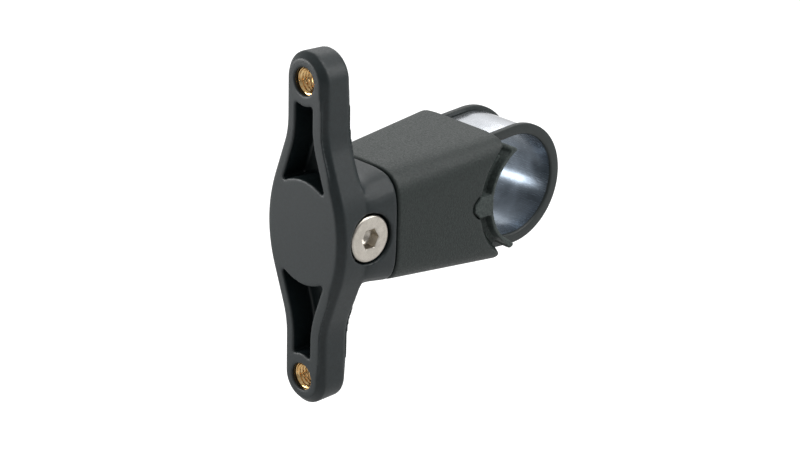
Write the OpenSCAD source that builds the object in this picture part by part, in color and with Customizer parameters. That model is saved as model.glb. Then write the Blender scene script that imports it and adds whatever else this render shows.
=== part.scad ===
// Bottle cage mount for a handlebar: a plate with two threaded inserts for the cage,
// a neck with a cross bolt, and a housing whose steel strap is drawn tight by that bolt.
// Origin: centre of the handlebar. X runs along the bar, towards the bolt head.
// Z runs along the line of the two cage bolts, and the cage sits on the -Y side.

/* [Cage plate] */
// Distance from the bar axis to the face that the cage sits on
reach = 52.5; // [50:0.5:60]
// Distance between the two cage bolts
bolt_pitch = 64; // [60:1:76]
// Half the width of the plate at its round ends
tip_r = 6; // [5.6:0.1:6.6]
// Half the width of the plate at its middle
middle_half_w = 11.8; // [11.4:0.1:12.4]
// Radius of the bulging sides at the middle
bulge_r = 28.5; // [24:0.5:32]
// Radius of the hollow sides between the middle and the ends
waist_r = 17; // [12:0.5:20]
// Angle of the sides between bulge and hollow
waist_angle = 20.5; // [19:0.5:24]
// Thickness of the plate
plate_t = 7.4; // [7:0.1:9]
// Chamfer round the front face
front_chamfer = 1.4; // [0.6:0.1:1.6]
// Draft of the plate's sides towards the back
plate_draft = 0.15; // [0:0.05:0.3]
// Chamfer round the back face
back_chamfer = 0.7; // [0.3:0.1:1]
// Length over which the back chamfer runs out beside the neck
back_chamfer_fade = 2; // [1:0.5:3]

/* [Cage plate pockets] */
// Depth of the two blind pockets
pocket_depth = 5.8; // [3:0.1:6]
// Rim between the front chamfer and a pocket
pocket_rim = 2; // [1.6:0.1:2.4]
// Radius of the solid middle, where the pockets end
pocket_middle_r = 11.3; // [10.5:0.1:12]
// Wall left round each insert at the pocket's end
insert_boss_wall = 1.8; // [1.2:0.1:2.6]
// Corner radius of the pockets
pocket_corner_r = 0.5; // [0.3:0.1:0.9]

/* [Cage bolt inserts] */
// Radius of the M5 insert
insert_r = 3.4; // [3.2:0.1:3.8]
// Radius of the insert's tapped hole
insert_bore_r = 2.1; // [2:0.05:2.3]
// Length of the insert
insert_len = 5.2; // [4:0.1:5.6]
// Depth of the insert's face under the plate's face
insert_recess = 1; // [0.6:0.1:1.4]
// Radius of the hole in the plate in front of the insert
insert_mouth_r = 2.9; // [2.7:0.05:3.1]

/* [Neck] */
// Distance from the plate's face to the joint between neck and housing
neck_reach = 15.4; // [14.6:0.1:18]
// Half the height of the neck just behind its fillet
neck_half_h = 11.1; // [10.6:0.1:12]
// Radius of the fillet between the neck and the plate's back
neck_fillet_r = 3.6; // [2.4:0.1:4]
// Squareness of the neck's section at the plate
neck_square = 4; // [3:0.1:5]
// Squareness of the fillet's outline on the plate's back
foot_square = 1.6; // [1.4:0.1:2]
// Height of the fillet's edge above the plate's back
fillet_edge = 0.15; // [0.1:0.05:0.3]
// Shadow gap between neck and housing
parting_gap = 0.25; // [0.15:0.05:0.4]
// Width of the shadow gap's step, measured in from the edge
parting_step = 0.9; // [0.6:0.1:1.4]
// Side of the square key that sets the neck's angle on the housing
key_side = 16; // [15:0.5:17]
// Height of the square key
key_h = 1; // [0.6:0.1:1.2]
// Clearance round the square key
key_gap = 0.15; // [0.1:0.05:0.25]

/* [Clamp housing] */
// Distance from the plate's face to the housing's end face
housing_reach = 44; // [43:0.5:46]
// Half the width of the housing at the joint
joint_half_w = 11.9; // [11.7:0.1:12.6]
// Half the height of the housing at the joint
joint_half_h = 12.3; // [12:0.1:13]
// Half the width of the housing at its end face
end_half_w = 13.7; // [13.3:0.1:14.5]
// Half the height of the housing at its end face
end_half_h = 14.1; // [13.9:0.1:15]
// Squareness of the section at the joint
joint_square = 4.4; // [4:0.1:6]
// Squareness of the section at the end face
end_square = 7; // [6:0.5:10]
// Small edge round at both ends of the housing
housing_edge = 0.3; // [0.1:0.05:0.5]
// Thickness of the housing's front wall
front_wall = 4; // [3:0.5:6]
// Wall of the boss that guides the draw bar
guide_wall = 1.9; // [1.4:0.1:2.2]
// Length of the guide boss behind the front wall
guide_len = 4; // [3:0.5:4.5]
// Thickness of the rib above and below the guide boss
guide_rib = 1.8; // [1:0.2:3]

/* [Handlebar and strap] */
// Radius of the handlebar
bar_r = 11.1; // [11:0.05:11.2]
// Thickness of the plastic web between bar and band
liner_t = 0.8; // [0.6:0.05:0.9]
// Thickness of the steel band
band_t = 0.6; // [0.4:0.05:0.7]
// Half the width of the steel band
band_half_w = 6.6; // [6:0.1:6.8]
// Width of each edge flange of the liner
flange_w = 1.2; // [0.9:0.1:1.4]
// Height of the flanges above the band
flange_h = 0.95; // [0.5:0.05:1.1]
// Clearance between band and flanges, on each side
band_gap = 0.25; // [0.15:0.05:0.35]
// Angle at which the strap's two ends run together
tail_angle = 3.7; // [3:0.1:4.5]
// Length of the straight ends of the band
tail_len = 21.3; // [20.5:0.1:21.8]
// Length of the straight ends of the liner
liner_tail_len = 12; // [9:0.5:13]
// Radius of the two cross pins in the band's eyes
pin_r = 1.5; // [1.2:0.05:1.6]
// Clearance between pin and eye
eye_gap = 0.05; // [0.03:0.01:0.1]
// Play between the strap and what it runs beside
strap_gap = 0.35; // [0.3:0.05:0.5]

/* [Cross bolt] */
// Distance from the plate's face to the bolt's axis
bolt_setback = 8.3; // [8.1:0.1:8.6]
// Radius of the bolt's shank
bolt_r = 3; // [2.8:0.05:3.05]
// Radius of the bolt's head
head_r = 5; // [4.6:0.1:5.1]
// Height of the bolt's head
head_h = 4; // [3.6:0.1:4.2]
// Depth of the bolt's head face under the neck's side
head_recess = 0.45; // [0.2:0.05:0.6]
// Chamfer of the bolt's head
head_chamfer = 0.5; // [0.2:0.1:0.8]
// Width across the flats of the bolt's hexagon socket
hex_af = 4; // [3.5:0.5:5]
// Depth of the hexagon socket
hex_depth = 2.2; // [1.6:0.1:2.6]
// Clearance round the bolt's head
head_gap = 0.4; // [0.3:0.05:0.6]
// Distance of the bolt's end from the neck's far side
bolt_end_inset = 0.7; // [0.4:0.1:1.2]
// Clearance between the bolt and its threaded bush
thread_gap = 0.05; // [0.03:0.01:0.08]
// Radius of the threaded bush
bush_r = 4.5; // [4.2:0.1:4.8]
// Length of the threaded bush
bush_len = 4.2; // [3.8:0.1:4.3]
// Depth of the bush's end under the neck's far side
bush_inset = 0.2; // [0:0.05:0.4]

/* [Wedge collar and draw bar] */
// How far the strap slackens when the bolt is let out
travel = 1.5; // [1:0.1:1.6]
// Height of the collar's plain rim under the bolt's head
collar_rim = 0.9; // [0.6:0.1:1.1]
// Height of the collar's 45 degree cone
cone_h = 1.7; // [1.4:0.1:1.8]
// Clearance between the collar and the bore that guides it
collar_gap = 0.2; // [0.1:0.05:0.25]
// Clearance of the bolt in the collar and in the draw bar
bolt_gap = 0.2; // [0.1:0.05:0.3]
// Offset of the cone's seat, by which the collar draws the bar in
seat_offset = 0.3; // [0.2:0.05:0.4]
// Clearance between the cone and its seat
seat_gap = 0.07; // [0.05:0.01:0.1]
// Radius of the draw bar's stud
stud_r = 6; // [5.8:0.05:6.1]
// Clearance round the stud
stud_gap = 0.2; // [0.15:0.05:0.3]
// Distance between the plate's face and the stud's bore
stud_skin = 1.8; // [1.6:0.1:2.2]
// Length of the crosshead that holds the two pins
crosshead_len = 5.6; // [5:0.1:6]
// Half the width of the crosshead
crosshead_half_w = 8.2; // [8:0.1:8.3]
// Clearance between the crosshead's core and the band's eyes
crosshead_eye_gap = 0.6; // [0.4:0.1:1]
// Play between the crosshead and the cavity's sides
crosshead_gap = 0.4; // [0.3:0.05:0.5]

/* [Saddle pad] */
// Clearance between the pad and the crosshead with the strap slack
pad_back_gap = 0.6; // [0.3:0.1:1]
// Thickness of the pad's curved shell where it seats in the housing
pad_seat_t = 2.8; // [2.4:0.1:3.2]
// Thickness of the lips at the pad's two sides
pad_lip_t = 1.3; // [1:0.1:1.8]
// Radius of the bead at each end of a lip
pad_bead_r = 0.9; // [0.7:0.1:1.2]
// Width of the free outer edge of each lip
pad_lip_w = 2; // [1.5:0.1:2.4]
// Distance of the lips from the housing's side face
pad_side_inset = 0.3; // [0.1:0.05:0.6]
// How far the lips reach round the bar from the middle
pad_lip_angle = 60; // [54:1:62]
// Radius of the housing's edge round a lip, at the side face
lip_groove_r = 15.5; // [15:0.1:16]
// How far the seated shell reaches round the bar from the middle
pad_seat_angle = 48; // [42:1:50]
// Flare of the lips' inner edge
pad_flare = 0.5; // [0.3:0.1:0.8]
// Half the width of the tongue in the middle of each lip
tongue_half_w = 2.3; // [1.8:0.1:2.8]
// How far the tongue reaches past the seated shell
tongue_reach = 2.9; // [2:0.1:3.2]
// Length of the tongue's tapered tip
tongue_taper = 1.6; // [1:0.1:2]
// Half the width of the tongue's tip
tongue_tip_half_w = 0.6; // [0.4:0.1:1]
// Clearance round the tongue in its notch
tongue_gap = 0.2; // [0.1:0.05:0.3]

/* [Hidden] */
$fn = 72;
// Overshoot of a cut past the face that it opens
past = 1;
// Points along the plate's curves, in each quarter
bulge_steps = 9;
waist_steps = 6;
tip_steps = 12;
// Height by which the strap's straight ends cut under the curve that they run out of
strap_flat = 0.02;

// Stations along Y, from the cage to the bar
front_y = -reach;
plate_back_y = front_y + plate_t;
bolt_y = front_y + bolt_setback;
joint_y = front_y + neck_reach;
end_y = front_y + housing_reach;
cavity_y = joint_y + front_wall;
insert_y = front_y + insert_recess;
insert_z = bolt_pitch / 2;

// Bolt stack along X, from the head's face down to the tip of the cone
head_x = middle_half_w - head_recess;
collar_x = head_x - head_h;
cone_x = collar_x - collar_rim;
tip_x = cone_x - cone_h;
collar_r = head_r + head_gap - collar_gap;
bolt_bore_r = bolt_r + bolt_gap;
bush_x = -(middle_half_w - bush_inset);

// Strap radii, from the bar outwards
band_r = bar_r + liner_t;
flange_r = band_r + band_t + flange_h;
liner_half_w = band_half_w + band_gap + flange_w;
cavity_half_w = crosshead_half_w + crosshead_gap;

// Pins of the band's eyes, placed in the frame of a straight strap end
eye_r = pin_r + eye_gap;
pin_line_r = band_r - eye_r;
pin_y = -tail_len * cos(tail_angle) - pin_line_r * sin(tail_angle);
pin_z = -tail_len * sin(tail_angle) + pin_line_r * cos(tail_angle);
cheek_x = band_half_w + strap_gap;

// Crosshead and pad
crosshead_half_h = pin_z - eye_r - band_t - crosshead_eye_gap;
crosshead_y = pin_y - crosshead_len / 2;
stud_y = front_y + stud_skin + stud_gap;
pad_y = pin_y + crosshead_len / 2 + travel + pad_back_gap;
saddle_r = bar_r + pad_seat_t;
lip_x = end_half_w - pad_side_inset - pad_lip_w;

// A superellipse of half sizes w and h: the power n runs from 2, an ellipse, to a square
function squarish(w, h, n, angles) =
    [for (a = angles) let (c = cos(a), s = sin(a))
        [w * sign(c) * pow(abs(c), 2 / n), h * sign(s) * pow(abs(s), 2 / n)]];

function mixed(a, b, t) = a + (b - a) * t;

function mixed_points(a, b, t) = [for (i = [0 : len(a) - 1]) mixed(a[i], b[i], t)];

// One quarter of the plate's outline, moved inwards by d: bulge, hollow and round end
function plate_quarter(d) =
    let (r1 = bulge_r - d, r2 = waist_r + d, w = middle_half_w - d, tip = tip_r - d,
        side = (w - r1 * (1 - cos(waist_angle)) - tip - r2 * (1 - cos(waist_angle))) / sin(waist_angle),
        hollow_z = (r1 + r2) * sin(waist_angle) + side * cos(waist_angle))
    concat(
        [for (i = [0 : bulge_steps]) let (a = waist_angle * i / bulge_steps)
            [w - r1 + r1 * cos(a), r1 * sin(a)]],
        [for (i = [0 : waist_steps]) let (a = waist_angle * (1 - i / waist_steps))
            [tip + r2 - r2 * cos(a), hollow_z - r2 * sin(a)]],
        [for (i = [0 : tip_steps]) let (a = 90 * i / tip_steps)
            [tip * cos(a), insert_z + tip * sin(a)]]);

function reversed(p) = [for (i = [len(p) - 1 : -1 : 0]) p[i]];

// The whole outline of a quarter, counter-clockwise seen from the cage side
function mirrored_quarter(q) =
    let (n = len(q))
    concat(q,
        [for (i = [n - 2 : -1 : 0]) [-q[i][0], q[i][1]]],
        [for (i = [1 : n - 1]) [-q[i][0], -q[i][1]]],
        [for (i = [n - 2 : -1 : 1]) [q[i][0], -q[i][1]]]);

function plate_outline(d) = mirrored_quarter(plate_quarter(d));

// Edge of the plate's back: it has no chamfer where the neck stands flush with the bulging sides
function plate_back_outline() =
    let (edge = plate_quarter(plate_draft), inner = plate_quarter(plate_draft + back_chamfer))
    mirrored_quarter([for (i = [0 : len(edge) - 1])
        let (beyond = edge[i][1] - edge[bulge_steps][1])
        mixed(edge[i], inner[i], min(1, max(0, beyond / back_chamfer_fade)))]);

// Outline of the neck's fillet on the plate's back: flush with the bulging sides, then over the top
function foot_outline() =
    let (q = plate_quarter(plate_draft), last = len(q) - 1, side = q[bulge_steps],
        rise = neck_half_h + neck_fillet_r - side[1])
    mirrored_quarter([for (i = [0 : last]) i <= bulge_steps ? q[i]
        : let (a = 90 * (i - bulge_steps) / (last - bulge_steps))
            [side[0] * pow(cos(a), 2 / foot_square), side[1] + rise * pow(sin(a), 2 / foot_square)]]);

// Angles of the neck's points, one for each point of the plate's outline: level with the
// bulging side's points, then in even steps to the top
function neck_angles() =
    let (q = plate_quarter(plate_draft), last = len(q) - 1,
        level = [for (i = [0 : bulge_steps]) asin(pow(q[i][1] / neck_half_h, neck_square / 2))],
        quarter = [for (i = [0 : last]) i <= bulge_steps ? level[i]
            : mixed(level[bulge_steps], 90, (i - bulge_steps) / (last - bulge_steps))])
    concat(quarter, [for (i = [last - 1 : -1 : 0]) 180 - quarter[i]],
        [for (i = [1 : last]) 180 + quarter[i]], [for (i = [last - 1 : -1 : 1]) 360 - quarter[i]]);

// Height of a line beside the strap's straight end: r is its radius where it leaves the bar
function tail_z(y, r) = r / cos(tail_angle) + y * tan(tail_angle);

// Section of the neck at y
function neck_outline(y, inset = 0) =
    let (t = (y - plate_back_y) / (joint_y - plate_back_y))
    squarish(mixed(middle_half_w - plate_draft, joint_half_w, t) - inset,
        mixed(neck_half_h, joint_half_h, t) - inset, mixed(neck_square, joint_square, t), neck_angles());

// Section of the housing at y
function housing_outline(y, inset = 0) =
    let (t = (y - joint_y) / (end_y - joint_y))
    squarish(mixed(joint_half_w, end_half_w, t) - inset, mixed(joint_half_h, end_half_h, t) - inset,
        mixed(joint_square, end_square, t), [for (i = [0 : 95]) 360 * i / 96]);

// A solid through outlines in X and Z that stand at rising stations in Y
module loft(stations, outlines) {
    n = len(outlines[0]);
    last = len(stations) - 1;
    points = [for (k = [0 : last]) for (p = outlines[k]) [p[0], stations[k], p[1]]];
    first_cap = [for (i = [n - 1 : -1 : 0]) i];
    last_cap = [for (i = [0 : n - 1]) last * n + i];
    sides = [for (k = [0 : last - 1]) for (i = [0 : n - 1])
        [k * n + i, k * n + (i + 1) % n, (k + 1) * n + (i + 1) % n, (k + 1) * n + i]];
    polyhedron(points = points, faces = concat([first_cap], sides, [last_cap]), convexity = 4);
}

// A cylinder or cone along X, from x0 to x1
module along_x(x0, x1, r, r_end = undef) {
    translate([x0, 0, 0])
        rotate([0, 90, 0])
            cylinder(h = x1 - x0, r1 = r, r2 = is_undef(r_end) ? r : r_end);
}

// A cylinder or cone along Y, from y0 to y1
module along_y(y0, y1, r, r_end = undef) {
    translate([0, y0, 0])
        rotate([-90, 0, 0])
            cylinder(h = y1 - y0, r1 = r, r2 = is_undef(r_end) ? r : r_end);
}

// A flat shape drawn in Y and Z, given its width along X from x0 to x1
module across(x0, x1) {
    translate([x0, 0, 0])
        rotate([90, 0, 90])
            linear_extrude(x1 - x0)
                children();
}

// The same on both sides of the middle plane
module both_sides() {
    children();
    mirror([1, 0, 0])
        children();
}

// Disc round the bar that runs out into the strap's two straight sides, in Y and Z
module strap_disc(r, straight) {
    side_r = r - strap_flat;
    foot = side_r * [-sin(tail_angle), cos(tail_angle)];
    tip = foot - straight * [cos(tail_angle), sin(tail_angle)];
    circle(r);
    polygon([foot, tip, [tip[0], -tip[1]], [foot[0], -foot[1]]]);
}

// Ring of the strap round the bar with its two straight ends, in Y and Z
module strap_outline(r_in, r_out, straight) {
    difference() {
        strap_disc(r_out, straight);
        strap_disc(r_in, straight + r_out);
    }
}

// Arc round the bar, centred on the housing's side, in Y and Z
module arc_outline(r_in, r_out, angle) {
    far = 3 * r_out;
    intersection() {
        difference() {
            circle(r_out);
            circle(r_in);
        }
        polygon([[0, 0], far * [-cos(angle), sin(angle)], far * [-1, sin(angle)],
            far * [-1, -sin(angle)], far * [-cos(angle), -sin(angle)]]);
    }
}

// The two blind pockets in the plate's face, in X and Z
module pocket_outlines() {
    offset(r = pocket_corner_r)
        offset(delta = -pocket_corner_r)
            difference() {
                polygon(plate_outline(front_chamfer + pocket_rim));
                circle(pocket_middle_r);
                for (side = [-1, 1])
                    translate([0, side * insert_z])
                        circle(insert_r + insert_boss_wall);
            }
}

// Plate and neck in one skin before anything is cut from them
module arm_body() {
    neck_y = plate_back_y + fillet_edge;
    fillet_steps = 6;
    fillet = [for (i = [0 : fillet_steps]) let (a = 90 * i / fillet_steps)
        [neck_y + neck_fillet_r * (1 - cos(a)), 1 - sin(a)]];
    neck_end_y = joint_y - parting_gap;
    edge_y = neck_end_y - housing_edge;
    loft(concat([front_y, front_y + front_chamfer, plate_back_y - back_chamfer, plate_back_y],
            [for (f = fillet) f[0]], [edge_y, neck_end_y, neck_end_y, joint_y]),
        concat([plate_outline(front_chamfer), plate_outline(0), plate_outline(plate_draft),
                plate_back_outline()],
            [for (f = fillet) mixed_points(neck_outline(f[0]), foot_outline(), f[1])],
            [neck_outline(edge_y), neck_outline(neck_end_y, housing_edge),
                neck_outline(neck_end_y, parting_step), neck_outline(joint_y, parting_step)]));
}

module cage_arm() {
    key_half = key_side / 2 + key_gap;
    color([0.13, 0.14, 0.15])
        difference() {
            arm_body();
            translate([0, front_y + pocket_depth, 0])
                rotate([90, 0, 0])
                    linear_extrude(pocket_depth + past)
                        pocket_outlines();
            for (side = [-1, 1])
                translate([0, 0, side * insert_z]) {
                    along_y(front_y - past, insert_y, insert_mouth_r);
                    along_y(insert_y, insert_y + insert_len, insert_r);
                    along_y(insert_y, plate_back_y + past, insert_bore_r + bolt_gap);
                }
            along_y(front_y + stud_skin, joint_y + past, stud_r + stud_gap);
            translate([-key_half, joint_y - key_h - key_gap, -key_half])
                cube([2 * key_half, key_h + key_gap + past, 2 * key_half]);
            translate([0, bolt_y, 0]) {
                along_x(tip_x - bolt_gap, middle_half_w + past, head_r + head_gap);
                along_x(bush_x, 0, bolt_bore_r);
                along_x(-middle_half_w - past, bush_x + bush_len, bush_r);
            }
        }
}

module cage_insert(side) {
    color([0.78, 0.6, 0.3])
        translate([0, 0, side * insert_z])
            difference() {
                along_y(insert_y, insert_y + insert_len, insert_r);
                along_y(insert_y - past, insert_y + insert_len + past, insert_bore_r);
                along_y(insert_y, insert_y + insert_recess / 2, insert_bore_r + insert_recess / 2, insert_bore_r);
            }
}

module insert_upper() {
    cage_insert(1);
}

module insert_lower() {
    cage_insert(-1);
}

module bolt_bush() {
    color([0.78, 0.6, 0.3])
        translate([0, bolt_y, 0])
            difference() {
                along_x(bush_x, bush_x + bush_len, bush_r);
                along_x(bush_x - past, bush_x + bush_len + past, bolt_r + thread_gap);
            }
}

module cross_bolt() {
    end_x = bolt_end_inset - middle_half_w;
    color([0.72, 0.7, 0.66])
        translate([0, bolt_y, 0])
            difference() {
                union() {
                    along_x(end_x, end_x + head_chamfer, bolt_r - head_chamfer, bolt_r);
                    along_x(end_x + head_chamfer, collar_x, bolt_r);
                    along_x(collar_x, head_x - head_chamfer, head_r);
                    along_x(head_x - head_chamfer, head_x, head_r, head_r - head_chamfer);
                }
                translate([head_x - hex_depth, 0, 0])
                    rotate([0, 90, 0])
                        cylinder(h = hex_depth + past, d = hex_af / cos(30), $fn = 6);
            }
}

module wedge_collar() {
    color([0.6, 0.61, 0.63])
        translate([0, bolt_y, 0])
            difference() {
                union() {
                    along_x(cone_x, collar_x, collar_r);
                    along_x(tip_x, cone_x, collar_r - cone_h, collar_r);
                }
                along_x(tip_x - past, collar_x + past, bolt_bore_r);
            }
}

// Two plates beside the band that hold the ends of one cross pin
module pin_cheeks() {
    both_sides()
        across(cheek_x, crosshead_half_w) {
            translate([crosshead_y, 0])
                square([crosshead_len, pin_z]);
            translate([pin_y, pin_z])
                circle(eye_r + band_t);
        }
}

module draw_bar() {
    seat_x = tip_x - bolt_gap;
    seat_r = collar_r - cone_h + seat_offset + seat_gap - bolt_gap;
    seat_end_x = stud_r + past;
    color([0.66, 0.67, 0.69])
        difference() {
            union() {
                along_y(stud_y, stud_y + head_chamfer, stud_r - head_chamfer, stud_r);
                along_y(stud_y + head_chamfer, crosshead_y + past, stud_r);
                translate([-crosshead_half_w, crosshead_y, -crosshead_half_h])
                    cube([2 * crosshead_half_w, crosshead_len, 2 * crosshead_half_h]);
                pin_cheeks();
                mirror([0, 0, 1])
                    pin_cheeks();
            }
            for (side = [-1, 1])
                translate([0, pin_y, side * pin_z])
                    along_x(-crosshead_half_w - past, crosshead_half_w + past, pin_r);
            for (y = [bolt_y - travel, bolt_y])
                translate([0, y, 0])
                    along_x(-stud_r - past, stud_r + past, bolt_bore_r);
            translate([-stud_r - past, bolt_y - travel, -bolt_bore_r])
                cube([2 * (stud_r + past), travel, 2 * bolt_bore_r]);
            translate([0, bolt_y + seat_offset, 0])
                along_x(seat_x, seat_end_x, seat_r, seat_r + seat_end_x - seat_x);
        }
}

module eye_pin(side) {
    color([0.62, 0.63, 0.65])
        translate([0, pin_y, side * pin_z])
            along_x(-crosshead_half_w, crosshead_half_w, pin_r);
}

module upper_eye_pin() {
    eye_pin(1);
}

module lower_eye_pin() {
    eye_pin(-1);
}

// Eye folded round a pin at the upper end of the band, in Y and Z
module eye_outline() {
    far = 3 * (eye_r + band_t);
    start_angle = 75;
    open_angle = 60;
    translate([pin_y, pin_z])
        rotate(tail_angle)
            difference() {
                circle(eye_r + band_t);
                circle(eye_r);
                polygon([[0, 0], far * [cos(start_angle), sin(start_angle)], [2 * far, 0],
                    far * [cos(open_angle), -sin(open_angle)]]);
            }
}

module strap_band() {
    color([0.8, 0.81, 0.83])
        across(-band_half_w, band_half_w) {
            strap_outline(band_r, band_r + band_t, tail_len);
            eye_outline();
            mirror([0, 1])
                eye_outline();
        }
}

module strap_liner() {
    flange_x = band_half_w + band_gap;
    web_x = flange_x + flange_w / 2;
    color([0.2, 0.21, 0.22])
        difference() {
            union() {
                across(-web_x, web_x)
                    strap_disc(band_r, liner_tail_len);
                both_sides()
                    across(flange_x, liner_half_w)
                        strap_disc(flange_r, liner_tail_len);
            }
            across(-liner_half_w - past, liner_half_w + past)
                strap_disc(bar_r, liner_tail_len + flange_r);
            both_sides()
                along_x(liner_half_w - liner_t / 2, liner_half_w + past, bar_r, bar_r + liner_t / 2 + past);
        }
}

// Inner room of the housing, in Y and Z: it follows the strap's ends and steps out at the liner
module cavity_outline() {
    step_y = -liner_tail_len * cos(tail_angle) - flange_r * sin(tail_angle) - strap_gap;
    band_line = band_r + band_t + strap_gap;
    flange_line = flange_r + strap_gap;
    out_y = end_y + past;
    upper = [[cavity_y, tail_z(cavity_y, band_line)], [step_y, tail_z(step_y, band_line)],
        [step_y, tail_z(step_y, flange_line)], [out_y, tail_z(out_y, flange_line)]];
    polygon(concat(upper, [for (p = reversed(upper)) [p[0], -p[1]]]));
}

// Tongue of a lip, or with a gap round it the notch that takes it, in Y and Z
module tongue_outline(gap = 0) {
    tip_y = -(saddle_r + tongue_reach) - gap;
    wide = tongue_half_w + gap;
    narrow = tongue_tip_half_w + gap;
    polygon([[-bar_r, wide], [tip_y + tongue_taper, wide], [tip_y, narrow],
        [tip_y, -narrow], [tip_y + tongue_taper, -wide], [-bar_r, -wide]]);
}

module clamp_housing() {
    guide_y = cavity_y + guide_len;
    groove_slope = (lip_groove_r - saddle_r) / (end_half_w - lip_x);
    color([0.24, 0.25, 0.25])
        difference() {
            union() {
                difference() {
                    loft([joint_y, joint_y + housing_edge, end_y - housing_edge, end_y],
                        [for (e = [[0, housing_edge], [housing_edge, 0]]) housing_outline(joint_y + e[0], e[1]),
                            housing_outline(end_y - housing_edge), housing_outline(end_y, housing_edge)]);
                    across(-cavity_half_w, cavity_half_w)
                        cavity_outline();
                }
                along_y(cavity_y - past, guide_y, stud_r + stud_gap + guide_wall);
                for (side = [-1, 1])
                    translate([-guide_rib / 2, cavity_y - past, side > 0 ? 0 : -joint_half_h + past])
                        cube([guide_rib, guide_len + past, joint_half_h - past]);
                translate([-key_side / 2, joint_y - key_h, -key_side / 2])
                    cube([key_side, key_h + past, key_side]);
            }
            along_y(joint_y - key_h - past, guide_y + past, stud_r + stud_gap);
            along_x(-end_half_w - past, end_half_w + past, saddle_r);
            both_sides() {
                along_x(lip_x, end_half_w + past, saddle_r, lip_groove_r + past * groove_slope);
                across(lip_x - tongue_gap, end_half_w + past)
                    tongue_outline(tongue_gap);
            }
        }
}

module saddle_pad() {
    side_x = lip_x + pad_lip_w;
    bead_at_r = bar_r + pad_bead_r;
    corridor = [[pad_y - past, tail_z(pad_y - past, bar_r) - strap_gap], [0, tail_z(0, bar_r) - strap_gap],
        [0, 2 * bar_r], [pad_y - past, 2 * bar_r]];
    color([0.17, 0.18, 0.18])
        difference() {
            union() {
                across(-lip_x, lip_x)
                    arc_outline(bar_r - past, saddle_r, pad_seat_angle);
                across(-side_x, side_x) {
                    arc_outline(bar_r - past, bar_r + pad_lip_t, pad_lip_angle);
                    for (side = [-1, 1])
                        translate(bead_at_r * [-cos(pad_lip_angle), side * sin(pad_lip_angle)])
                            circle(pad_bead_r);
                }
                across(-cavity_half_w, cavity_half_w)
                    intersection() {
                        translate([pad_y, -bar_r])
                            square([-pad_y, 2 * bar_r]);
                        arc_outline(past, -2 * pad_y, pad_lip_angle);
                    }
                both_sides()
                    across(lip_x, side_x)
                        tongue_outline();
            }
            along_x(-side_x - past, side_x + past, bar_r);
            both_sides()
                along_x(lip_x, side_x, bar_r, bar_r + pad_flare);
            for (side = [0, 1])
                mirror([0, 0, side])
                    across(-cavity_half_w, cavity_half_w)
                        polygon(corridor);
        }
}

cage_arm();
insert_upper();
insert_lower();
bolt_bush();
cross_bolt();
wedge_collar();
draw_bar();
upper_eye_pin();
lower_eye_pin();
strap_band();
strap_liner();
clamp_housing();
saddle_pad();
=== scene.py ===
# Looks of the handlebar bottle cage mount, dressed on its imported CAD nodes.
# The frame is in metres: X along the handlebar towards the bolt head, Z along the line of the
# two cage bolts, and the cage on the -Y side. The origin is the handlebar's centre.
# In the functions below, s is the dictionary of settings of the piece in hand.
import bmesh
import bpy
import numpy as np
from mathutils import Matrix


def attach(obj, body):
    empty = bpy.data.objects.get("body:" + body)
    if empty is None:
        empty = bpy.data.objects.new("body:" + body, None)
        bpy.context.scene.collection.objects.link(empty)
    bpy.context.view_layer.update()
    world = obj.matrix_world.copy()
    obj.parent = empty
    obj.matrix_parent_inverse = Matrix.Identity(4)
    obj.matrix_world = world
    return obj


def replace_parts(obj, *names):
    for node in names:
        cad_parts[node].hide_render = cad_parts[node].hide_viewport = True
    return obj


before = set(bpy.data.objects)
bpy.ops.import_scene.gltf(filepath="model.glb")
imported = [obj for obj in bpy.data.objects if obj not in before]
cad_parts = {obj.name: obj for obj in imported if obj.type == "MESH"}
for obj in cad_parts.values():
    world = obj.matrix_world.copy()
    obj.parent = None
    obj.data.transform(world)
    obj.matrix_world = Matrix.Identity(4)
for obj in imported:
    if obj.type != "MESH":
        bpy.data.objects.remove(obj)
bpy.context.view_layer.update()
mm = 0.001

# Sizes that more than one piece is set by, in mm
barRadius = 11.1
cageBoltSpacing = 64.0
crossBoltCentre = (0, -44.2, 0)
crossBoltPitch = 1.0


# Linear colour of an sRGB code: a channel c is c / 12.92 near black, else ((c + 0.055) / 1.055) ^ 2.4
def linearColour(code):
    channels = np.array([int(code[i:i + 2], 16) for i in (0, 2, 4)]) / 255
    linear = np.where(channels <= 0.04045, channels / 12.92, ((channels + 0.055) / 1.055) ** 2.4)
    return (*linear.tolist(), 1.0)


# Adds one node to a tree, sets its fields and inputs, and links other nodes' outputs to it
def addNode(tree, kind, fields={}, inputs={}, links={}):
    node = tree.nodes.new("ShaderNode" + kind)
    for key, value in fields.items():
        setattr(node, key, value)
    for key, value in inputs.items():
        node.inputs[key].default_value = value
    for key, (source, output) in links.items():
        tree.links.new(source.outputs[output], node.inputs[key])
    return node


# Ramp between values or colours: stops is a list of (position, colour or grey level)
def addRamp(tree, source, stops):
    ramp = addNode(tree, "ValToRGB", links={"Fac": (source, 0)})
    elements = ramp.color_ramp.elements
    while len(elements) < len(stops):
        elements.new(1.0)  # the loop below sets its place
    for element, (position, value) in zip(elements, stops):
        element.position = position
        element.color = value if isinstance(value, tuple) else (value, value, value, 1.0)
    return ramp


# An empty material with its shader and output; shader holds the sockets that are the same all over
def newMaterial(name, shader):
    material = bpy.data.materials.new(name)
    material.use_nodes = True
    tree = material.node_tree
    tree.nodes.clear()
    principled = addNode(tree, "BsdfPrincipled", inputs=shader)
    addNode(tree, "OutputMaterial", links={"Surface": (principled, "BSDF")})
    return material, tree, principled


# Noise: how much its finer octaves count, the span that nearly all its values lie in, and no stretch
noiseRoughness = 0.6
noiseSpan = (0.3, 0.7)
even = (1.0, 1.0, 1.0)


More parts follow.
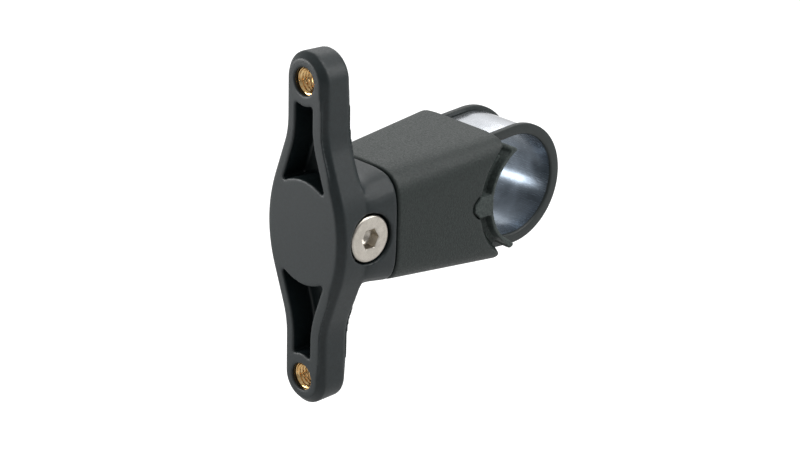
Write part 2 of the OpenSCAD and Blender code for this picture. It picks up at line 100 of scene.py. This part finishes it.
# Noise in Object coordinates whose features are about size metres wide. A stretch below 1 draws them
# out along that axis, and one above 1 narrows them
def addNoise(tree, coordinates, size, detail, stretch):
    mapping = addNode(tree, "Mapping", inputs={"Scale": stretch}, links={"Vector": (coordinates, "Object")})
    inputs = {"Scale": 1 / size, "Detail": detail, "Roughness": noiseRoughness}
    return addNode(tree, "TexNoise", inputs=inputs, links={"Vector": (mapping, "Vector")})


# A worked surface: its colour drifts from dark to light over cloudSize metres, and roughness and bump
# follow the marks that mould, tool or roll left, markSize metres wide and markDepth metres deep
def surfaceMaterial(name, s):
    material, tree, principled = newMaterial(name, s["shader"])
    coordinates = addNode(tree, "TexCoord")
    cloud = addNoise(tree, coordinates, s["cloudSize"], s["detail"]["cloud"], even)
    marks = addNoise(tree, coordinates, s["markSize"], s["detail"]["marks"], s["stretch"])
    low, high = noiseSpan
    tone = addRamp(tree, cloud, [(low, linearColour(s["dark"])), (high, linearColour(s["light"]))])
    sheen = addRamp(tree, marks, [(low, s["roughnessLow"]), (high, s["roughnessHigh"])])
    bump = addNode(tree, "Bump", inputs={"Strength": 1.0, "Distance": s["markDepth"]},
                   links={"Height": (marks, 0)})
    tree.links.new(tone.outputs["Color"], principled.inputs["Base Color"])
    tree.links.new(sheen.outputs["Color"], principled.inputs["Roughness"])
    tree.links.new(bump.outputs["Normal"], principled.inputs["Normal"])
    return material


# Octaves of noise in the clouds and in the marks: a moulded grain is rougher than a tool's marks
plasticDetail = {"cloud": 3.0, "marks": 4.0}
metalDetail = {"cloud": 2.0, "marks": 3.0}

# Glass-filled nylon, injection moulded in a finely eroded tool: dull, with a soft bluish sheen
armNylon = surfaceMaterial("armNylonMoulded", {
    "dark": "0e191b", "light": "162225", "cloudSize": 0.7 * mm,
    "markSize": 0.3 * mm, "markDepth": 0.02 * mm, "roughnessLow": 0.4, "roughnessHigh": 0.52,
    "detail": plasticDetail, "stretch": even, "shader": {"IOR": 1.53},
})
# The same nylon in a more coarsely eroded tool: the grain catches the light as fine specks
housingNylon = surfaceMaterial("housingNylonEroded", {
    "dark": "0f1a18", "light": "222d2a", "cloudSize": 0.5 * mm,
    "markSize": 0.36 * mm, "markDepth": 0.07 * mm, "roughnessLow": 0.38, "roughnessHigh": 0.62,
    "detail": plasticDetail, "stretch": even, "shader": {"IOR": 1.53},
})
# The strap's nylon edges, moulded in a plain machined tool: dull and even
linerNylon = surfaceMaterial("linerNylonMoulded", {
    "dark": "182020", "light": "1f2827", "cloudSize": 0.8 * mm,
    "markSize": 0.2 * mm, "markDepth": 0.01 * mm, "roughnessLow": 0.42, "roughnessHigh": 0.54,
    "detail": plasticDetail, "stretch": even, "shader": {"IOR": 1.53},
})
# Moulded synthetic rubber, dull with a fine dusty grain that grips the bar
padRubber = surfaceMaterial("padRubberMoulded", {
    "dark": "222b29", "light": "48524f", "cloudSize": 0.5 * mm,
    "markSize": 0.32 * mm, "markDepth": 0.06 * mm, "roughnessLow": 0.6, "roughnessHigh": 0.75,
    "detail": plasticDetail, "stretch": even,
    "shader": {"IOR": 1.52, "Sheen Weight": 0.08, "Sheen Roughness": 0.4},
})
# The liner's face on the bar: a lighter bluish grey and half metallic, a painted reflection that stands in
# for the shine of
# # the glossy nylon face, with its roughness and bump in streaks drawn out along the bar
linerBarFaceReflection = surfaceMaterial("linerBarFacePaintedReflection", {
    "dark": "56606a", "light": "727d89", "cloudSize": 4 * mm,
    "markSize": 0.2 * mm, "markDepth": 0.004 * mm, "stretch": (0.06, 1.0, 1.0),
    "roughnessLow": 0.2, "roughnessHigh": 0.3,
    "detail": metalDetail, "shader": {"Metallic": 0.6, "IOR": 1.53},
})
# Free-cutting brass, turned and tapped: bright ridges with fine marks round the bore
insertBrass = surfaceMaterial("insertBrassTurned", {
    "dark": "dca763", "light": "f8d9a0", "cloudSize": 0.6 * mm,
    "markSize": 0.08 * mm, "markDepth": 0.003 * mm, "stretch": (1.0, 6.0, 1.0),
    "roughnessLow": 0.1, "roughnessHigh": 0.24,
    "detail": metalDetail, "shader": {"Metallic": 1.0},
})
# Stainless steel, cold headed and tumbled: pale and warm, with soft edges and no direction
boltSteel = surfaceMaterial("boltSteelTumbled", {
    "dark": "c0bab0", "light": "d2ccc2", "cloudSize": 1.2 * mm,
    "markSize": 0.12 * mm, "markDepth": 0.005 * mm, "stretch": even,
    "roughnessLow": 0.24, "roughnessHigh": 0.38,
    "detail": metalDetail, "shader": {"Metallic": 1.0},
})
# Stainless spring strip, bright rolled: near a mirror, with faint lines along the strip
bandSteel = surfaceMaterial("bandSteelRolled", {
    "dark": "c8ccd2", "light": "d9dce1", "cloudSize": 5 * mm,
    "markSize": 0.12 * mm, "markDepth": 0.0015 * mm, "stretch": (1.0, 0.02, 0.02),
    "roughnessLow": 0.14, "roughnessHigh": 0.24,
    "detail": metalDetail, "shader": {"Metallic": 1.0},
})
# Steel, machined and zinc plated: greyer than the bolt, with fine tool marks
innerSteel = surfaceMaterial("innerSteelPlated", {
    "dark": "a3a6aa", "light": "b9bcc0", "cloudSize": 2 * mm,
    "markSize": 0.1 * mm, "markDepth": 0.003 * mm, "stretch": (0.1, 1.0, 1.0),
    "roughnessLow": 0.28, "roughnessHigh": 0.4,
    "detail": metalDetail, "shader": {"Metallic": 1.0},
})
print("materials done")

# How meshes are cleaned: points closer than merge metres become one, faces that lean less than
# flatAngle degrees from each other become one, and edges above sharpAngle degrees stay sharp
cleaning = {"merge": 0.001 * mm, "flatAngle": 0.4, "sharpAngle": 35.0}


# Makes a mesh into a piece: outward normals, smooth but for its sharp edges, its material and its body
def addPiece(name, mesh, material, body):
    work = bmesh.new()
    work.from_mesh(mesh)
    bmesh.ops.recalc_face_normals(work, faces=work.faces)
    work.to_mesh(mesh)
    work.free()
    mesh.shade_smooth()
    mesh.set_sharp_from_angle(angle=np.radians(cleaning["sharpAngle"]))
    mesh.materials.clear()
    mesh.materials.append(material)
    piece = bpy.data.objects.new(name, mesh)
    bpy.context.scene.collection.objects.link(piece)
    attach(piece, body)
    return piece


# A copy of a CAD node's mesh with its points merged, and with flatAngle above 0 its triangles too
def copiedMesh(nodeName, flatAngle):
    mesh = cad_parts[nodeName].data.copy()
    work = bmesh.new()
    work.from_mesh(mesh)
    bmesh.ops.remove_doubles(work, verts=work.verts, dist=cleaning["merge"])
    if flatAngle > 0:
        bmesh.ops.dissolve_limit(work, angle_limit=np.radians(flatAngle), verts=work.verts, edges=work.edges)
    work.to_mesh(mesh)
    work.free()
    return mesh


# A machined piece, copied from its CAD node: a round of edgeRound metres on each edge sharper than
# edgeAngle degrees
def machinedNode(nodeName, material, body, s):
    mesh = copiedMesh(nodeName, cleaning["flatAngle"])
    piece = addPiece(nodeName + "_finished", mesh, material, body)
    bevel = piece.modifiers.new("edgeRound", "BEVEL")
    bevel.width = s["edgeRound"]
    bevel.segments = s["segments"]
    bevel.limit_method = "ANGLE"
    bevel.angle_limit = np.radians(s["edgeAngle"])
    bevel.harden_normals = True
    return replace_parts(piece, nodeName)


# A moulding, copied from its CAD node: one even skin of cells of cellSize metres, whose edges
# relaxing draws into soft rounds, more so with each step
def mouldedNode(nodeName, material, body, s):
    piece = addPiece(nodeName + "_moulded", copiedMesh(nodeName, 0), material, body)
    cells = piece.modifiers.new("evenCells", "REMESH")
    cells.mode = "VOXEL"
    cells.voxel_size = s["cellSize"]
    cells.use_smooth_shade = True
    relax = piece.modifiers.new("softEdges", "SMOOTH")
    relax.factor = 0.5  # each point goes half of the way to the middle of its neighbours
    relax.iterations = s["relaxSteps"]
    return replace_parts(piece, nodeName)


# Mesh of a grid of points in rows and columns. Each row is closed round. With closeRows the last row
# joins the first, and without it one flat face closes each of them
def gridMesh(name, points, closeRows=False):
    rows, columns = points.shape[:2]
    row = np.arange(rows if closeRows else rows - 1)[:, None]
    column = np.arange(columns)[None, :]
    nextRow, nextColumn = (row + 1) % rows, (column + 1) % columns
    corners = [row * columns + column, row * columns + nextColumn,
               nextRow * columns + nextColumn, nextRow * columns + column]
    faces = np.stack(np.broadcast_arrays(*corners), axis=-1).reshape(-1, 4).tolist()
    if not closeRows:
        faces.append(list(range(columns)))
        faces.append(list(range((rows - 1) * columns, rows * columns)))
    mesh = bpy.data.meshes.new(name)
    mesh.from_pydata(points.reshape(-1, 3), [], faces)
    return mesh


# A thread's profile: flankRise is how much of its height it gains per pitch on the way from the middle
# of the root to the crest, and rootFlat is the height that the flat root takes off
threadProfile = {"flankRise": 2.6, "rootFlat": 0.35}


# Radius of a thread at a place along its axis and an angle: a ridge that climbs one pitch a turn, from
# rootRadius in the flat root towards crestRadius at the narrow crest
def threadRadius(along, angle, pitch, rootRadius, crestRadius):
    phase = np.mod(along / pitch - angle / (2 * np.pi), 1.0)
    fromRoot = 0.5 - np.abs(phase - 0.5)
    ridge = np.clip(fromRoot * threadProfile["flankRise"] - threadProfile["rootFlat"], 0.0, 1.0)
    return rootRadius + (crestRadius - rootRadius) * ridge


# Points of a body of revolution whose radius may change round it. Axis "x" or "y"; the angle turns
# from the axis that follows it, so that a thread climbs the right-handed way
def turnedPoints(axis, centre, along, radius, angle):
    first, second = radius * np.cos(angle), radius * np.sin(angle)
    along = np.broadcast_to(along, radius.shape)
    if axis == "x":
        parts = (along, first, second)
    else:
        parts = (second, along, first)
    return np.stack(parts, axis=-1) * mm + np.array(centre) * mm


mouldedNode("cage_arm", armNylon, "clamp_body", {"cellSize": 0.28 * mm, "relaxSteps": 4})
mouldedNode("clamp_housing", housingNylon, "clamp_body",
            {"cellSize": 0.27 * mm, "relaxSteps": 3})
mouldedNode("saddle_pad", padRubber, "clamp_body", {"cellSize": 0.2 * mm, "relaxSteps": 3})
machinedNode("draw_bar", innerSteel, "strap",
             {"edgeRound": 0.12 * mm, "edgeAngle": 30.0, "segments": 3})
machinedNode("wedge_collar", innerSteel, "collar",
             {"edgeRound": 0.1 * mm, "edgeAngle": 30.0, "segments": 3})
pinSizes = {"edgeRound": 0.15 * mm, "edgeAngle": 30.0, "segments": 3}
for pinName in ("upper_eye_pin", "lower_eye_pin"):
    machinedNode(pinName, innerSteel, "strap", pinSizes)
print("dressed nodes done")

# Strap, in mm: half a ring about the bar, a straight tail on each side that leans in by tailAngle
# degrees, and on the band an eye rolled round each pin. Each radius is that of an inner face
strapSizes = {"tailAngle": 3.7, "arcSteps": 48, "tailSteps": 4, "eyeSteps": 36, "eyeTurn": 210.0,
              "eyeRadius": 1.55, "pinY": -21.92, "pinZ": 8.95, "cornerSteps": 4}
linerSizes = {"radius": barRadius, "tail": 12.0, "web": 0.8, "halfWidth": 8.05, "flange": 1.2,
              "flangeHeight": 2.35, "innerCorner": 0.55, "corner": 0.22}
bandSizes = {"radius": barRadius + linerSizes["web"], "tail": 21.3, "halfWidth": 6.6,
             "thickness": 0.6, "corner": 0.16}


# Stations of one side of the strap: for each a base point, a start radius and the angle of the
# outward normal from +Y, so that height h stands at base + (radius + h) * normal
def strapStations(radius, tail, s, withEye):
    lean = np.radians(s["tailAngle"])
    arcAngle = np.linspace(0.0, np.pi / 2 + lean, s["arcSteps"])
    tailAlong = np.linspace(0.0, tail, s["tailSteps"])[1:]
    base = [np.zeros((s["arcSteps"], 2)), -tailAlong[:, None] * [[np.cos(lean), np.sin(lean)]]]
    angles = [arcAngle, np.full(len(tailAlong), np.pi / 2 + lean)]
    radii = [np.full(s["arcSteps"] + len(tailAlong), radius)]
    if withEye:
        eyeAngle = np.pi / 2 + lean + np.radians(np.linspace(0.0, s["eyeTurn"], s["eyeSteps"])[1:])
        base.append(np.full((len(eyeAngle), 2), [s["pinY"], s["pinZ"]]))
        angles.append(eyeAngle)
        radii.append(np.full(len(eyeAngle), s["eyeRadius"]))
    return np.concatenate(base), np.concatenate(radii), np.concatenate(angles)


# Closed profile with its corners rounded: each corner becomes a parabola that starts and ends its
# own cut length before and after the corner
def roundedProfile(corners, steps):
    points = np.array([c[:2] for c in corners])
    cut = np.array([c[2] for c in corners])[:, None]
    before, after = np.roll(points, 1, axis=0) - points, np.roll(points, -1, axis=0) - points
    start = points + before / np.linalg.norm(before, axis=1, keepdims=True) * cut
    end = points + after / np.linalg.norm(after, axis=1, keepdims=True) * cut
    t = np.linspace(0.0, 1.0, steps)[None, :, None]  # runs from start to end on each parabola
    curve = (1 - t) ** 2 * start[:, None] + 2 * t * (1 - t) * points[:, None] + t ** 2 * end[:, None]
    return curve.reshape(-1, 2)


# The strap's skin: the profile (x, height) set on every station, the lower side a mirror of the upper
def strapMesh(name, profile, stations):
    base, radii, angles = stations
    base = np.concatenate([base[:0:-1] * [1, -1], base])
    angles = np.concatenate([-angles[:0:-1], angles])
    radii = np.concatenate([radii[:0:-1], radii])
    reach = radii[:, None] + profile[None, :, 1]
    y = base[:, :1] + reach * np.cos(angles)[:, None]
    z = base[:, 1:] + reach * np.sin(angles)[:, None]
    x = np.broadcast_to(profile[None, :, 0], y.shape)
    return gridMesh(name, np.stack([x, y, z], axis=-1) * mm)


# Corners of the band's section, a flat strip: x, height over its inner face, and cut length
def bandCorners(s):
    side, top, cut = s["halfWidth"], s["thickness"], s["corner"]
    return [(-side, 0, cut), (side, 0, cut), (side, top, cut), (-side, top, cut)]


# Corners of the liner's section, a channel: a thin web on the bar and a flange up each side of the band
def linerCorners(s):
    side, inner = s["halfWidth"], s["halfWidth"] - s["flange"]
    web, top, cut, barCut = s["web"], s["flangeHeight"], s["corner"], s["innerCorner"]
    return [(-side, 0, barCut), (side, 0, barCut), (side, top, cut), (inner, top, cut),
            (inner, web, cut), (-inner, web, cut), (-inner, top, cut), (-side, top, cut)]


bandProfile = roundedProfile(bandCorners(bandSizes), strapSizes["cornerSteps"])
bandPath = strapStations(bandSizes["radius"], bandSizes["tail"], strapSizes, True)
band = addPiece("strap_band_rolled", strapMesh("band", bandProfile, bandPath), bandSteel, "strap")
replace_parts(band, "strap_band")

linerProfile = roundedProfile(linerCorners(linerSizes), strapSizes["cornerSteps"])
linerPath = strapStations(linerSizes["radius"], linerSizes["tail"], strapSizes, False)
liner = addPiece("strap_liner_moulded", strapMesh("liner", linerProfile, linerPath), linerNylon, "strap")
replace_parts(liner, "strap_liner")


# Gives a second material to one column of a grid mesh with so many columns, all along its rows
def secondMaterial(piece, material, column, columns):
    mesh = piece.data
    face = np.arange(len(mesh.polygons))
    chosen = (face % columns == column) & (face < face.size - 2)  # the last two faces are its ends
    mesh.materials.append(material)
    mesh.polygons.foreach_set("material_index", chosen.astype(np.int32))


# The liner's face on the bar, from the end of its first corner to the start of its second, takes the painted
# reflection
secondMaterial(liner, linerBarFaceReflection, strapSizes["cornerSteps"] - 1, len(linerProfile))
print("strap done")

# Threaded inserts of the cage bolts, in mm: M5 with a pitch of 0.8. mouth is the bore's radius at both
# ends, edge the cut on each edge, runOut the length in pitches over which the thread fades to a
# mouth, and shift how far the whole thread is moved along its axis
insertSizes = {"outer": 3.4, "front": -51.5, "length": 5.2, "rootRadius": 2.5, "crestRadius": 2.1,
               "pitch": 0.8, "runOut": 0.6, "shift": 0.0, "mouth": 2.6, "edge": 0.12, "columns": 72,
               "rowsPerPitch": 14}


# Closed sleeve with an inside thread: its rows run along the outer wall and back through the bore
def sleeveMesh(name, axis, centre, s):
    angle = np.linspace(0, 2 * np.pi, s["columns"], endpoint=False)[None, :]
    front, back, edge = s["front"], s["front"] + s["length"], s["edge"]
    boreRows = int(s["rowsPerPitch"] * s["length"] / s["pitch"])
    bore = np.linspace(back - edge, front + edge, boreRows)[:, None]
    fade = np.clip(np.minimum(bore - front, back - bore) / (s["runOut"] * s["pitch"]), 0.0, 1.0)
    thread = threadRadius(bore + s["shift"], angle, s["pitch"], s["rootRadius"], s["crestRadius"])
    borePart = s["mouth"] + (thread - s["mouth"]) * fade
    outer = [(front, s["mouth"] + edge), (front, s["outer"] - edge), (front + edge, s["outer"]),
             (back - edge, s["outer"]), (back, s["outer"] - edge), (back, s["mouth"] + edge)]
    outerAlong = np.array([p[0] for p in outer])[:, None]
    outerRadius = np.array([p[1] for p in outer])[:, None] * np.ones_like(angle)
    along = np.concatenate([outerAlong, bore])
    radius = np.concatenate([outerRadius, borePart])
    return gridMesh(name, turnedPoints(axis, centre, along, radius, angle), closeRows=True)


for side, nodeName in ((1, "insert_upper"), (-1, "insert_lower")):
    mesh = sleeveMesh(nodeName, "y", (0, 0, side * cageBoltSpacing / 2), insertSizes)
    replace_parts(addPiece(nodeName + "_tapped", mesh, insertBrass, "clamp_body"), nodeName)

# Threaded bush that the cross bolt screws into, in mm: M6 with a pitch of 1. The shift of half a pitch
# sets its ridges in the bolt's grooves
bushSizes = {"outer": 4.5, "front": -11.6, "length": 4.2, "rootRadius": 3.06, "crestRadius": 2.6,
             "pitch": crossBoltPitch, "runOut": 0.6, "shift": crossBoltPitch / 2, "mouth": 3.12,
             "edge": 0.15, "columns": 72, "rowsPerPitch": 14}
bush = addPiece("bolt_bush_tapped", sleeveMesh("boltBush", "x", crossBoltCentre, bushSizes),
                insertBrass, "clamp_body")
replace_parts(bush, "bolt_bush")

# Cross bolt, in mm: M6 low head. faceEdge is the width of the last row on its face, which keeps the
# shading flat, and neck the plain stretch before the thread, which is at full depth after one pitch
boltSizes = {"face": 11.35, "headHeight": 4.0, "headRadius": 5.0, "headEdge": 0.55, "headSteps": 7,
             "faceEdge": 0.08, "underEdge": 0.15, "neckRound": 0.2, "neck": 0.5, "shank": 3.0,
             "threadEnd": 1.5, "tip": -11.1, "chamfer": 0.5, "rootRadius": 2.55,
             "pitch": crossBoltPitch, "columns": 96, "rowsPerPitch": 14}

# Its socket, in mm: a hexagon whose floor runs down to a drill's point. The values named for edges are
# the widths of narrow cuts and rows, which keep the shading crisp
socketSizes = {"acrossFlats": 4.0, "depth": 2.2, "mouthEdge": 0.14, "wallEdge": 0.05, "faceEdge": 0.06,
               "drillDepth": 1.1, "drillRadius": 1.8, "drillEdge": 0.05, "pointRadius": 0.05,
               "floorEdge": 0.02, "footEdge": 0.04}


# Radius of a hexagon round the axis: half the width across flats, over the cosine of the angle from
# the middle of the nearest flat
def hexagonRadius(angle, acrossFlats):
    flat = np.pi / 3
    return acrossFlats / 2 / np.cos(np.mod(angle, flat) - flat / 2)


# Rows of the socket as (x, radius), from the drill's point up over the hexagon and onto the face
def socketRows(face, angle, s):
    hexagon = hexagonRadius(angle, s["acrossFlats"])
    floorX, wallTop = face - s["depth"], face - s["mouthEdge"]
    rim = hexagonRadius(0.0, s["acrossFlats"]) + s["mouthEdge"]
    return [(floorX - s["drillDepth"], s["pointRadius"]),
            (floorX - s["drillEdge"], s["drillRadius"] - s["drillEdge"]),
            (floorX - s["floorEdge"], s["drillRadius"]), (floorX, hexagon - s["floorEdge"]),
            (floorX + s["footEdge"], hexagon), (wallTop - s["wallEdge"], hexagon), (wallTop, hexagon),
            (face, rim), (face, rim + s["faceEdge"])]


# Rows of the head as (x, radius): the rest of the face, its round edge, the underside and the neck
def headRows(s):
    face, radius, edge = s["face"], s["headRadius"], s["headEdge"]
    turn = np.linspace(0, np.pi / 2, s["headSteps"])
    under = face - s["headHeight"]
    rows = [(face, radius - edge - s["faceEdge"])]
    rows += [(face - edge * (1 - np.cos(t)), radius - edge * (1 - np.sin(t))) for t in turn]
    rows += [(under + s["underEdge"], radius), (under, radius - s["underEdge"]),
             (under, s["shank"] + s["neckRound"]), (under - s["neckRound"], s["shank"]),
             (s["threadEnd"] + s["neck"], s["shank"])]
    return rows


# One closed skin from the socket's floor over the head and down the threaded shank to the tip, which
# a chamfer of 45 degrees ends
def boltMesh(s, socket):
    angle = np.linspace(0, 2 * np.pi, s["columns"], endpoint=False)[None, :]
    rows = socketRows(s["face"], angle, socket) + headRows(s)
    threadRows = int((s["threadEnd"] - s["tip"]) / s["pitch"] * s["rowsPerPitch"])
    threadX = np.linspace(s["threadEnd"], s["tip"], threadRows)[:, None]
    thread = threadRadius(threadX, angle, s["pitch"], s["rootRadius"], s["shank"])
    fade = np.clip((s["threadEnd"] - threadX) / s["pitch"], 0.0, 1.0)
    thread = s["shank"] + (thread - s["shank"]) * fade
    thread = np.minimum(thread, s["shank"] - s["chamfer"] + (threadX - s["tip"]))
    along = np.concatenate([np.array([x for x, _ in rows])[:, None], threadX])
    radius = np.concatenate([np.broadcast_to(r, angle.shape) for _, r in rows] + [thread])
    return gridMesh("crossBolt", turnedPoints("x", crossBoltCentre, along, radius, angle))


bolt = addPiece("cross_bolt_threaded", boltMesh(boltSizes, socketSizes), boltSteel, "bolt")
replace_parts(bolt, "cross_bolt")
print("turned pieces done")

# Camera of the photograph, fitted to it: angles in degrees, lengths in mm
view = {"azimuth": 46.709, "elevation": 21.933, "roll": 1.449, "distance": 506.49,
        "target": (2.081, -27.5, -4.08), "lens": 109.74, "sensor": 36.0, "nearest": 10.0}


# Directions of a camera's own right, top and back. It stands at azimuth degrees round from -Y towards
# +X and elevation degrees up, and roll leans it about the line of sight
def cameraAxes(azimuth, elevation, roll):
    around, up, lean = np.radians([azimuth, elevation, roll])
    back = np.array([np.sin(around) * np.cos(up), -np.cos(around) * np.cos(up), np.sin(up)])
    level = np.array([np.cos(around), np.sin(around), 0.0])
    upright = np.cross(back, level)
    right = level * np.cos(lean) + upright * np.sin(lean)
    return right, upright * np.cos(lean) - level * np.sin(lean), back


# Stands an object at distance mm from target, its own -Z towards the target
def placeAt(thing, azimuth, elevation, roll, distance, target):
    right, top, back = cameraAxes(azimuth, elevation, roll)
    matrix = np.eye(4)
    matrix[:3, :3] = np.stack([right, top, back], axis=1)
    matrix[:3, 3] = (np.array(target) + back * distance) * mm
    thing.matrix_world = Matrix(matrix.tolist())


cameraData = bpy.data.cameras.new("camera")
cameraData.lens = view["lens"]
cameraData.sensor_width = view["sensor"]
cameraData.clip_start = view["nearest"] * mm
camera = bpy.data.objects.new("camera", cameraData)
bpy.context.scene.collection.objects.link(camera)
bpy.context.scene.camera = camera
placeAt(camera, view["azimuth"], view["elevation"], view["roll"], view["distance"], view["target"])

# Softboxes, all aimed at one point: angles in degrees, distance and size in mm, power in watts
lampTarget = (0.0, -25.0, 0.0)
softboxes = {
    "top": {"azimuth": 118, "elevation": 68, "distance": 620, "wide": 340, "high": 280, "power": 1.35},
    "left": {"azimuth": -45, "elevation": 7, "distance": 560, "wide": 260, "high": 110, "power": 1.5},
    "right": {"azimuth": 128, "elevation": 30, "distance": 600, "wide": 300, "high": 300, "power": 1.2},
    "back": {"azimuth": 222, "elevation": 40, "distance": 600, "wide": 420, "high": 160, "power": 0.4},
}
for name, s in softboxes.items():
    lampData = bpy.data.lights.new(name, "AREA")
    lampData.shape = "RECTANGLE"
    lampData.size = s["wide"] * mm
    lampData.size_y = s["high"] * mm
    lampData.energy = s["power"]
    lamp = bpy.data.objects.new(name, lampData)
    bpy.context.scene.collection.objects.link(lamp)
    placeAt(lamp, s["azimuth"], s["elevation"], 0.0, s["distance"], lampTarget)

# The studio's shade: a white sweep stands behind the object, up and away from the photograph's
# camera, and the room on the camera's side is dim. Stops go from there to the sweep's middle, and
# roomFill is the share of the shade that reaches dull surfaces
sweepSide = (-0.6, 0.55, 0.58)
roomShade = [(0.0, 0.1), (0.4, 0.4), (0.86, 0.52), (0.98, 1.0)]
roomFill = 0.7


# How bright the studio is towards a vector, by its angle from the sweep's middle
def studioShade(tree, vector, output):
    unit = addNode(tree, "VectorMath", {"operation": "NORMALIZE"}, links={0: (vector, output)})
    towards = addNode(tree, "VectorMath", {"operation": "DOT_PRODUCT"}, {1: sweepSide}, {0: (unit, 0)})
    place = addNode(tree, "MapRange", {}, {"From Min": -1.0, "From Max": 1.0}, {"Value": (towards, "Value")})
    return addRamp(tree, place, roomShade)


# Light seen straight or through glass is 1; in a mirror it is the studio's shade; and where it
# falls on a dull surface it is the shade times fill
def seenStrength(tree, shade, fill):
    path = addNode(tree, "LightPath")
    straight = addNode(tree, "Math", {"operation": "MAXIMUM"},
                       links={0: (path, "Is Camera Ray"), 1: (path, "Is Transmission Ray")})
    level = addNode(tree, "MapRange", {}, {"To Min": fill, "To Max": 1.0}, {"Value": (path, "Is Glossy Ray")})
    shaded = addNode(tree, "Math", {"operation": "MULTIPLY"}, links={0: (shade, 0), 1: (level, 0)})
    return addNode(tree, "Math", {"operation": "MAXIMUM"}, links={0: (straight, 0), 1: (shaded, 0)})


# World: the sweep and the room
world = bpy.data.worlds.new("studio")
world.use_nodes = True
bpy.context.scene.world = world
worldTree = world.node_tree
worldTree.nodes.clear()
aim = addNode(worldTree, "TexCoord")
worldStrength = seenStrength(worldTree, studioShade(worldTree, aim, "Generated"), roomFill)
air = addNode(worldTree, "Background", inputs={"Color": (1, 1, 1, 1)}, links={"Strength": (worldStrength, 0)})
addNode(worldTree, "OutputWorld", links={"Surface": (air, 0)})

# Floor, in mm: pale paint that keeps the shadow, under a glow that lifts it to white and whose light
# reaches no dull surface
floorSizes = {"height": -70.0, "half": 4000.0, "paint": "cccccc", "glow": 0.75, "fill": 0.0}
half, height = floorSizes["half"] * mm, floorSizes["height"] * mm
floorMesh = bpy.data.meshes.new("floor")
floorMesh.from_pydata([(-half, -half, height), (half, -half, height), (half, half, height),
                       (-half, half, height)], [], [(0, 1, 2, 3)])
floor = bpy.data.objects.new("floor", floorMesh)
bpy.context.scene.collection.objects.link(floor)
floorPaint = bpy.data.materials.new("floorPaint")
floorPaint.use_nodes = True
floorTree = floorPaint.node_tree
floorTree.nodes.clear()
spot = addNode(floorTree, "NewGeometry")
floorSeen = seenStrength(floorTree, studioShade(floorTree, spot, "Position"), floorSizes["fill"])
glowStrength = addNode(floorTree, "Math", {"operation": "MULTIPLY"}, {1: floorSizes["glow"]},
                       {0: (floorSeen, 0)})
paint = addNode(floorTree, "BsdfDiffuse", inputs={"Color": linearColour(floorSizes["paint"])})
glow = addNode(floorTree, "Emission", links={"Strength": (glowStrength, 0)})
both = addNode(floorTree, "AddShader", links={0: (paint, 0), 1: (glow, 0)})
addNode(floorTree, "OutputMaterial", links={"Surface": (both, 0)})
floorMesh.materials.append(floorPaint)

bpy.context.scene.view_settings.view_transform = "Standard"
print("stage done")
